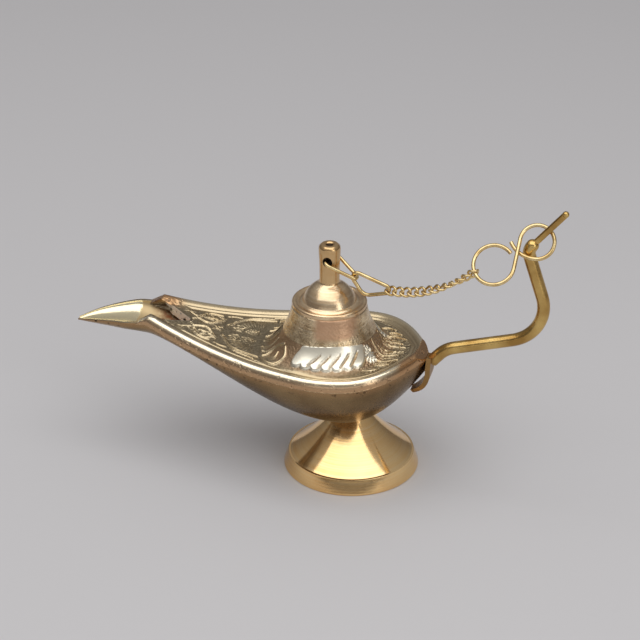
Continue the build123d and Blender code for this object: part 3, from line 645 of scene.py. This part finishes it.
# lid: spigot, stepped flange, bell dome and a drilled stem; points are (radius, height)
lid = {
    "x": -7.0, "steps": 112,
    "spigot": [(0.6, 53.9), (6.8, 53.9), (6.8, 49.4), (8.3, 49.4), (8.4, 49.5), (8.4, 53.9)],
    "flange": [(11.1, 53.9), (11.3, 54.1), (11.3, 54.8)],
    "bead": [(11.25, 55.0), (10.7, 55.45), (10.0, 55.3)], "beadSteps": 7,
    "step": [(9.7, 55.05), (9.2, 55.0), (8.9, 55.35), (8.5, 55.5)],
    "dome": [(8.1, 55.7), (6.35, 58.75), (3.5, 61.1)], "domeSteps": 18,
    "stem": [(3.1, 61.5), (3.0, 61.9), (3.02, 66.0), (3.1, 68.6), (3.25, 71.0), (3.25, 72.6)],
    "top": [(3.1, 73.2), (2.5, 73.75), (1.5, 73.8), (1.1, 73.5), (0.5, 72.8)],
    "holeZ": 69.0, "holeRadius": 1.5, "holeSteps": 48, "holeRun": 12,
    "holeSide": 3.05, "sinkOut": 0.1, "chamfer": 0.4,
    "holeShadeGap": 0.02, "dimple": 1.05, "dimpleZ": 72.3,
}
lidProfile = (
    lid["spigot"] + lid["flange"] + arcThrough(*lid["bead"], lid["beadSteps"]) + lid["step"]
    + arcThrough(*lid["dome"], lid["domeSteps"]) + lid["stem"] + lid["top"]
)


def closeLidBottom(piece):
    editAll(piece)
    bpy.ops.mesh.fill_holes(sides=0)
    bpy.ops.mesh.normals_make_consistent(inside=False)
    return settle(piece)


def cutAway(piece, cutter):
    cut = piece.modifiers.new("drill", "BOOLEAN")
    cut.object = cutter
    cut.operation = "DIFFERENCE"
    cut.solver = "EXACT"
    applyAll(piece)
    bpy.data.objects.remove(cutter)


def drillStem(piece):
    # a through hole, then a countersink on either side
    deselectAll()
    x, z, radius, chamfer = lid["x"] * mm, lid["holeZ"] * mm, lid["holeRadius"], lid["chamfer"]
    bpy.ops.mesh.primitive_cylinder_add(
        vertices=lid["holeSteps"], radius=radius * mm, depth=lid["holeRun"] * mm,
        location=(x, 0, z), rotation=(math.pi / 2, 0, 0),
    )
    cutAway(piece, bpy.context.object)
    for side in (-1, 1):
        deselectAll()
        bpy.ops.mesh.primitive_cone_add(
            vertices=lid["holeSteps"], radius1=(radius + 2 * chamfer) * mm,
            radius2=(radius - chamfer) * mm, depth=3 * chamfer * mm,
            location=(x, side * (lid["holeSide"] + lid["sinkOut"]) * mm, z),
            rotation=(side * math.pi / 2, 0, 0),
        )
        cutAway(piece, bpy.context.object)
    return settle(piece)


turnedLid = turnPiece("turnedLid", lidProfile, x=lid["x"], steps=lid["steps"], closed=False)
turnedLid = drillStem(closeLidBottom(turnedLid))
print("lid", len(turnedLid.data.polygons), "faces")


# brass finishes
def newMaterial(name):
    material = bpy.data.materials.new(name)
    material.use_nodes = True
    material.node_tree.nodes.clear()
    output = material.node_tree.nodes.new("ShaderNodeOutputMaterial")
    shader = material.node_tree.nodes.new("ShaderNodeBsdfPrincipled")
    material.node_tree.links.new(shader.outputs["BSDF"], output.inputs["Surface"])
    return material, shader


def feed(tree, socket, value):
    if isinstance(value, bpy.types.NodeSocket):
        tree.links.new(value, socket)
    else:
        socket.default_value = (*value, 1) if isinstance(value, tuple) else value


def mixed(tree, factor, first, second):
    node = tree.nodes.new("ShaderNodeMix")
    node.data_type = "FLOAT" if isinstance(second, float) else "RGBA"
    feed(tree, node.inputs["Factor"], factor)
    feed(tree, node.inputs["A"], first)
    feed(tree, node.inputs["B"], second)
    return node.outputs["Result"]


def sums(tree, operation, first, second):
    node = tree.nodes.new("ShaderNodeMath")
    node.operation = operation
    feed(tree, node.inputs[0], first)
    feed(tree, node.inputs[1], second)
    return node.outputs[0]


def times(tree, first, second):
    return sums(tree, "MULTIPLY", first, second)


def ranged(tree, value, low, high):
    node = tree.nodes.new("ShaderNodeMapRange")
    feed(tree, node.inputs["Value"], value)
    node.inputs["From Min"].default_value = low
    node.inputs["From Max"].default_value = high
    return node.outputs["Result"]


def marked(tree, name):
    node = tree.nodes.new("ShaderNodeAttribute")
    node.attribute_name = name
    return node.outputs["Fac"]


def objectPlace(tree):
    return tree.nodes.new("ShaderNodeTexCoord").outputs["Object"]


def along(tree, axis):
    split = tree.nodes.new("ShaderNodeSeparateXYZ")
    tree.links.new(objectPlace(tree), split.inputs[0])
    return split.outputs[axis]


def noisy(tree, scale, detail, vector=None):
    node = tree.nodes.new("ShaderNodeTexNoise")
    feed(tree, node.inputs["Scale"], scale)
    node.inputs["Detail"].default_value = detail
    tree.links.new(objectPlace(tree) if vector is None else vector, node.inputs["Vector"])
    return node.outputs["Fac"]


def newGroup(name, inputs, outputs):
    group = bpy.data.node_groups.new(name, "ShaderNodeTree")
    for direction, sockets in (("INPUT", inputs), ("OUTPUT", outputs)):
        for label, kind in sockets.items():
            group.interface.new_socket(label, in_out=direction, socket_type="NodeSocket" + kind)
    return group, group.nodes.new("NodeGroupInput").outputs, group.nodes.new("NodeGroupOutput").inputs


effects = {
    "cloudDetail": 5.0, "cloudEdge": (0.35, 0.65), "grainDetail": 3.0, "lineDetail": 2.0,
    "pitDetail": 2.0, "pitEdge": (0.62, 0.68), "bumpDistance": 0.0004,
}


def brassToneGroup():
    # clouded colour, smudged gloss and a fine grain
    inputs = {"Bright": "Color", "Dull": "Color", "Cloud Scale": "Float", "Pit Scale": "Float"}
    inputs.update({"Gloss": "Float", "Smudge": "Float"})
    outputs = {"Color": "Color", "Roughness": "Float", "Height": "Float"}
    group, given, result = newGroup("brassTone", inputs, outputs)
    clouds = noisy(group, given["Cloud Scale"], effects["cloudDetail"])
    grain = noisy(group, given["Pit Scale"], effects["grainDetail"])
    bright = ranged(group, clouds, *effects["cloudEdge"])
    group.links.new(mixed(group, bright, given["Dull"], given["Bright"]), result["Color"])
    smudge = times(group, sums(group, "ADD", grain, clouds), given["Smudge"])
    group.links.new(sums(group, "ADD", smudge, given["Gloss"]), result["Roughness"])
    group.links.new(grain, result["Height"])
    return group


def turnedLinesGroup():
    # fine rings left by the lathe, about an upright axis
    inputs = {"Axis X": "Float", "Fineness": "Float"}
    group, given, result = newGroup("turnedLines", inputs, {"Height": "Float"})
    across = sums(group, "SUBTRACT", along(group, "X"), given["Axis X"])
    acrossSquare = sums(group, "POWER", across, 2.0)
    squares = sums(group, "ADD", acrossSquare, sums(group, "POWER", along(group, "Y"), 2.0))
    ring = group.nodes.new("ShaderNodeCombineXYZ")
    group.links.new(sums(group, "SQRT", squares, 0.0), ring.inputs["X"])
    group.links.new(along(group, "Z"), ring.inputs["Z"])
    lines = noisy(group, given["Fineness"], effects["lineDetail"], ring.outputs[0])
    group.links.new(lines, result["Height"])
    return group


def castPitsGroup():
    # blowholes of a rough casting, as a mask
    inputs = {"Scale": "Float", "Amount": "Float"}
    group, given, result = newGroup("castPits", inputs, {"Mask": "Float"})
    blots = noisy(group, given["Scale"], effects["pitDetail"])
    deepest = ranged(group, blots, *effects["pitEdge"])
    group.links.new(times(group, deepest, given["Amount"]), result["Mask"])
    return group


brassTone, turnedLines, castPits = brassToneGroup(), turnedLinesGroup(), castPitsGroup()


def placeGroup(tree, group, values):
    node = tree.nodes.new("ShaderNodeGroup")
    node.node_tree = group
    for label, value in values.items():
        feed(tree, node.inputs[label], value)
    return node.outputs


# a brass is kept open as a set of sockets until its marks are mixed in
def startBrass(name, look):
    material, shader = newMaterial(name)
    tree = material.node_tree
    tone = placeGroup(tree, brassTone, {
        "Bright": look["bright"], "Dull": look["dull"], "Cloud Scale": look["cloud"],
        "Pit Scale": look["pit"], "Gloss": look["gloss"], "Smudge": look["smudge"],
    })
    shader.inputs["Metallic"].default_value = 1.0
    return {
        "material": material, "tree": tree, "shader": shader, "colour": tone["Color"],
        "rough": tone["Roughness"], "height": times(tree, tone["Height"], look["bump"]),
    }


def finishBrass(brass):
    tree, shader = brass["tree"], brass["shader"]
    tree.links.new(brass["colour"], shader.inputs["Base Color"])
    tree.links.new(brass["rough"], shader.inputs["Roughness"])
    bump = tree.nodes.new("ShaderNodeBump")
    bump.inputs["Distance"].default_value = effects["bumpDistance"]
    tree.links.new(brass["height"], bump.inputs["Height"])
    tree.links.new(bump.outputs["Normal"], shader.inputs["Normal"])
    return brass["material"]


def addHeight(brass, socket, amount):
    tree = brass["tree"]
    brass["height"] = sums(tree, "ADD", brass["height"], times(tree, socket, amount))


def paint(brass, mask, colour, rough=None):
    brass["colour"] = mixed(brass["tree"], mask, brass["colour"], colour)
    if rough is not None:
        brass["rough"] = mixed(brass["tree"], mask, brass["rough"], rough)


def addPits(brass, look, amount):
    pits = placeGroup(brass["tree"], castPits, {"Scale": look["pitsScale"], "Amount": amount})["Mask"]
    paint(brass, pits, look["pits"], look["pitsRough"])
    addHeight(brass, pits, look["pitsDeep"])


hullLook = {
    "bright": (0.34, 0.235, 0.12), "dull": (0.16, 0.1, 0.05), "cloud": 45.0, "pit": 1500.0,
    "gloss": 0.12, "smudge": 0.1, "bump": 0.02,
    "runs": 900.0, "runDetail": 3.0, "runStretch": 0.08, "runGloss": 0.12, "runBump": 0.05,
    # seam is the colour of a painted sheen, a lighter band just under the seam
    "seam": (0.5, 0.29, 0.14), "seamSheenShare": 0.6, "trough": (0.95, 0.84, 0.56), "troughRough": 0.2,
    "speckle": 900.0, "speckleDetail": 4.0, "speckleShare": 0.6,
    "tan": (0.6, 0.46, 0.26), "tanEdge": (0.7, 0.85), "tanRough": 0.5,
    "rust": (0.36, 0.15, 0.07), "rustEdge": (0.32, 0.55), "rustRough": 0.6,
    "pits": (0.06, 0.04, 0.025), "pitsScale": 620.0, "pitsRough": 0.65, "pitsDeep": -0.8,
}


def makeHullBrass(look):
    brass = startBrass("hullBrass", look)
    tree = brass["tree"]
    under = marked(tree, "underSeam")
    stretch = tree.nodes.new("ShaderNodeMapping")
    stretch.inputs["Scale"].default_value = (look["runStretch"], 1.0, 1.0)
    tree.links.new(objectPlace(tree), stretch.inputs["Vector"])
    # polishing runs along the hull
    runs = noisy(tree, look["runs"], look["runDetail"], stretch.outputs[0])
    brass["rough"] = sums(tree, "ADD", brass["rough"], times(tree, runs, look["runGloss"]))
    addHeight(brass, runs, look["runBump"])
    # painted sheen: the hull is painted lighter in a band just under the seam, where the cast pits also
    # lie
    paint(brass, times(tree, under, look["seamSheenShare"]), look["seam"])
    paint(brass, marked(tree, "inside"), look["trough"], look["troughRough"])
    speckle = noisy(tree, look["speckle"], look["speckleDetail"])
    edge = sums(tree, "ADD", marked(tree, "patch"), times(tree, speckle, look["speckleShare"]))
    paint(brass, ranged(tree, edge, *look["tanEdge"]), look["tan"], look["tanRough"])
    rusty = times(tree, ranged(tree, speckle, *look["rustEdge"]), marked(tree, "slot"))
    paint(brass, rusty, look["rust"], look["rustRough"])
    addPits(brass, look, under)
    return finishBrass(brass)


deckLook = {
    "bright": (0.74, 0.6, 0.38), "dull": (0.52, 0.39, 0.22), "cloud": 90.0, "pit": 1800.0,
    "gloss": 0.12, "smudge": 0.1, "bump": 0.05,
    "grain": 1700.0, "grainDetail": 2.0, "grainEdge": (0.4, 0.62), "grainBump": 0.55,
    "dots": 1250.0, "dotsDeep": -1.1,
    "ground": (0.25, 0.2, 0.125), "groundPale": (0.42, 0.345, 0.23), "groundRough": 0.42,
    "copper": (0.5, 0.31, 0.18), "copperShare": 0.6,
    "inner": (0.52, 0.42, 0.27), "innerShare": 0.6, "innerRough": 0.3,
    "slope": (0.55, 0.31, 0.15), "slopeShare": 0.85, "slopePits": 0.45,
    "crest": (0.95, 0.86, 0.66), "crestHighlightRough": 0.16, "leaf": (1.0, 0.94, 0.78), "leafRough": 0.28,
    "cut": (0.97, 0.9, 0.8), "cutRough": 0.75,
    "pits": (0.07, 0.05, 0.03), "pitsScale": 760.0, "pitsRough": 0.6, "pitsDeep": -0.8,
}


def makeDeckBrass(look):
    # the carved ground keeps its patina, raised strokes and the plain rim are rubbed bright; the bead's
    # crest and the acanthus get a painted highlight, the bead's lower outer slope a painted shade
    brass = startBrass("deckBrass", look)
    tree = brass["tree"]
    plain, slope, cut = marked(tree, "plain"), marked(tree, "slope"), marked(tree, "cut")
    grain = noisy(tree, look["grain"], look["grainDetail"])
    paleness = ranged(tree, grain, *look["grainEdge"])
    ground = mixed(tree, paleness, look["ground"], look["groundPale"])
    nearNeck = times(tree, marked(tree, "skirt"), look["copperShare"])
    ground = mixed(tree, nearNeck, ground, look["copper"])
    bare = sums(tree, "SUBTRACT", 1.0, sums(tree, "MAXIMUM", marked(tree, "relief"), plain))
    paint(brass, bare, ground, look["groundRough"])
    paint(brass, times(tree, plain, look["innerShare"]), look["inner"], look["innerRough"])
    # painted shade on the bead's lower outer slope, and the real colour of the filed flats
    paint(brass, times(tree, slope, look["slopeShare"]), look["slope"])
    # painted highlight along the bead's crest
    paint(brass, marked(tree, "crest"), look["crest"], look["crestHighlightRough"])
    # painted highlight: the acanthus is painted near white, palest where it stands highest
    paint(brass, marked(tree, "leaf"), look["leaf"], look["leafRough"])
    paint(brass, cut, look["cut"], look["cutRough"])
    addPits(brass, look, sums(tree, "MAXIMUM", cut, times(tree, slope, look["slopePits"])))
    addHeight(brass, times(tree, grain, bare), look["grainBump"])
    dots = tree.nodes.new("ShaderNodeTexVoronoi")
    dots.inputs["Scale"].default_value = look["dots"]
    tree.links.new(objectPlace(tree), dots.inputs["Vector"])
    punched = times(tree, marked(tree, "stipple"), bare)
    addHeight(brass, times(tree, dots.outputs["Distance"], punched), look["dotsDeep"])
    return finishBrass(brass)


neckLook = {
    "bright": (0.88, 0.7, 0.45), "dull": (0.5, 0.35, 0.19), "cloud": 420.0, "pit": 1300.0,
    "gloss": 0.14, "smudge": 0.12, "bump": 0.42,
    "axis": -0.007, "fineness": 2600.0, "lines": 0.02, "pale": (0.93, 0.8, 0.58),
    "patch": (0.6, 0.36, 0.22), "patchShare": 0.85, "patchRough": 0.4,
    "patchEdges": (
        ("Z", 0.0474, 0.0488), ("Y", 0.0, -0.004), ("X", -0.0096, -0.0076), ("X", 0.0038, 0.0018),
    ),
}
footLook = {
    "bright": (0.96, 0.67, 0.32), "dull": (0.88, 0.54, 0.22), "cloud": 60.0, "pit": 900.0,
    "gloss": 0.07, "smudge": 0.05, "bump": 0.01,
    "axis": 0.0, "fineness": 1500.0, "lines": 0.015, "pale": (0.96, 0.74, 0.44),
}
lidLook = {
    "bright": (0.86, 0.66, 0.42), "dull": (0.62, 0.42, 0.24), "cloud": 190.0, "pit": 1700.0,
    "gloss": 0.13, "smudge": 0.11, "bump": 0.05,
    "axis": -0.007, "fineness": 1700.0, "lines": 0.08, "pale": (0.93, 0.78, 0.55),
    "stem": (0.66, 0.42, 0.18), "stemShare": 0.75, "stemEdge": (0.0612, 0.0618),
}
paleLines = {"edge": (0.45, 0.7), "share": 0.5}


def makeTurnedBrass(name, look):
    brass = startBrass(name, look)
    tree = brass["tree"]
    values = {"Axis X": look["axis"], "Fineness": look["fineness"]}
    lines = placeGroup(tree, turnedLines, values)["Height"]
    addHeight(brass, lines, look["lines"])
    paint(brass, times(tree, ranged(tree, lines, *paleLines["edge"]), paleLines["share"]), look["pale"])
    if "patch" in look:
        # dull coppery patch on the near side of the neck
        mask = look["patchShare"]
        for axis, start, full in look["patchEdges"]:
            mask = times(tree, ranged(tree, along(tree, axis), start, full), mask)
        paint(brass, mask, look["patch"], look["patchRough"])
    if "stem" in look:
        upper = ranged(tree, along(tree, "Z"), *look["stemEdge"])
        paint(brass, times(tree, upper, look["stemShare"]), look["stem"])
    return finishBrass(brass)


handleLook = {
    "bright": (0.7, 0.48, 0.17), "dull": (0.4, 0.23, 0.065), "cloud": 130.0, "pit": 1500.0,
    "gloss": 0.12, "smudge": 0.1, "bump": 0.08,
    "leaf": (0.34, 0.2, 0.075), "leafShadeAndBrazeEdge": (0.0259, 0.0247), "leafRough": 0.4,
}


def makeHandleBrass(look):
    # painted shade: the leaf tab is painted dark where it lies against the hull, and the braze at the
    # root is dark
    brass = startBrass("handleBrass", look)
    shadeAndBraze = ranged(brass["tree"], along(brass["tree"], "X"), *look["leafShadeAndBrazeEdge"])
    paint(brass, shadeAndBraze, look["leaf"], look["leafRough"])
    return finishBrass(brass)


wireLook = {
    "bright": (0.86, 0.68, 0.36), "dull": (0.62, 0.43, 0.18), "cloud": 320.0, "pit": 3000.0,
    "gloss": 0.13, "smudge": 0.08, "bump": 0.03,
}
# painted shade for the inside of the drilled hole and the dimple
holeShadeLook = {
    "bright": (0.09, 0.06, 0.04), "dull": (0.03, 0.022, 0.018), "cloud": 500.0, "pit": 2500.0,
    "gloss": 0.5, "smudge": 0.15, "bump": 0.1,
}
hullBrass, deckBrass = makeHullBrass(hullLook), makeDeckBrass(deckLook)
neckBrass, footBrass = makeTurnedBrass("neckBrass", neckLook), makeTurnedBrass("footBrass", footLook)
lidBrass, handleBrass = makeTurnedBrass("lidBrass", lidLook), makeHandleBrass(handleLook)
wireBrass = finishBrass(startBrass("wireBrass", wireLook))
holeShadeBrass = finishBrass(startBrass("holeShadeBrass", holeShadeLook))


def dress(piece, material, bodyName, slotName, *replaced):
    piece.data.materials.clear()
    piece.data.materials.append(material)
    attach(piece, bodyName)
    if replaced:
        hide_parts(*replaced)


dress(hullBowl, hullBrass, "lamp", "cast_brass", "lower_shell")
dress(deckShell, deckBrass, "lamp", "cast_brass", "upper_shell")
dress(neckCollar, neckBrass, "lamp", "cast_brass")
dress(turnedFoot, footBrass, "lamp", "polished_brass", "foot")
dress(turnedLid, lidBrass, "lid", "lid_brass", "lid")


def paintHoleShade(piece):
    # painted shade: the drilled hole and the dimple on top are painted dark inside
    piece.data.materials.append(holeShadeBrass)
    for face in piece.data.polygons:
        x, y, z = face.center / mm
        fromDrill = math.hypot(x - lid["x"], z - lid["holeZ"])
        inSide = abs(y) < lid["holeSide"] - lid["chamfer"]
        inDrill = fromDrill < lid["holeRadius"] + lid["holeShadeGap"] and inSide
        inDimple = z > lid["dimpleZ"] and math.hypot(x - lid["x"], y) < lid["dimple"]
        if inDrill or inDimple:
            face.material_index = 1


paintHoleShade(turnedLid)
for name, node in nodes.items():
    if name not in ("lower_shell", "upper_shell", "foot", "lid"):
        node.data.materials.clear()
        node.data.materials.append(handleBrass if name == "handle" else wireBrass)
print("finishes on")

# stage: pale floor, soft overhead light, camera where the photograph was taken from
stage = {
    "floor": (0.62, 0.61, 0.62), "floorRough": 0.6, "floorSize": 6.0,
    "horizon": (0.5, (0.2, 0.19, 0.19)), "zenith": (0.95, (0.62, 0.61, 0.61)), "skyStrength": 0.7,
    "aim": (-0.01, 0, 0.045),
}
softboxes = {  # place, width, height, power
    "overhead": ((-0.02, -0.22, 0.85), 1.4, 0.95, 5.6),
    "frontLow": ((0.12, -0.9, 0.2), 1.5, 0.25, 0.7),
    "fillRight": ((0.6, -0.4, 0.3), 0.2, 0.5, 0.6),
}
view = {
    "azimuth": 14.0, "elevation": 28.0, "distance": 0.6695, "target": (-0.00994, 0, 0.04797),
    "lens": 125.26, "sensor": 36.0, "clipStart": 0.01,
}
deselectAll()
bpy.ops.mesh.primitive_plane_add(size=stage["floorSize"], location=(0, 0, 0))
floor = bpy.context.object
floor.name = "floor"
floorMaterial, floorShader = newMaterial("floorPaper")
floorShader.inputs["Base Color"].default_value = (*stage["floor"], 1)
floorShader.inputs["Roughness"].default_value = stage["floorRough"]
floor.data.materials.append(floorMaterial)

world = bpy.data.worlds.new("studio")
bpy.context.scene.world = world
world.use_nodes = True
sky = world.node_tree
background = sky.nodes["Background"]
direction = sky.nodes.new("ShaderNodeTexCoord")
split = sky.nodes.new("ShaderNodeSeparateXYZ")
dome = sky.nodes.new("ShaderNodeValToRGB")
for stop, (position, colour) in zip(dome.color_ramp.elements, (stage["horizon"], stage["zenith"])):
    stop.position = position
    stop.color = (*colour, 1)
sky.links.new(direction.outputs["Generated"], split.inputs["Vector"])
sky.links.new(ranged(sky, split.outputs["Z"], -1.0, 1.0), dome.inputs["Fac"])
sky.links.new(dome.outputs["Color"], background.inputs["Color"])
background.inputs["Strength"].default_value = stage["skyStrength"]


def pointed(direction):
    return direction.to_track_quat("-Z", "Y").to_euler()


for name, (place, width, height, power) in softboxes.items():
    deselectAll()
    bpy.ops.object.light_add(type="AREA", location=place)
    lamp = bpy.context.object
    lamp.name = name
    lamp.data.shape = "RECTANGLE"
    lamp.data.size = width
    lamp.data.size_y = height
    lamp.data.energy = power
    lamp.rotation_euler = pointed(Vector(stage["aim"]) - Vector(place))

bpy.ops.object.camera_add()
camera = bpy.context.object
camera.data.lens = view["lens"]
camera.data.sensor_width = view["sensor"]
turn, rise = math.radians(view["azimuth"]), math.radians(view["elevation"])
back = Vector((math.sin(turn) * math.cos(rise), -math.cos(turn) * math.cos(rise), math.sin(rise)))
camera.location = Vector(view["target"]) + back * view["distance"]
camera.rotation_euler = pointed(-back)
camera.data.clip_start = view["clipStart"]
bpy.context.scene.camera = camera
bpy.context.scene.view_settings.view_transform = "Standard"
print("stage set")
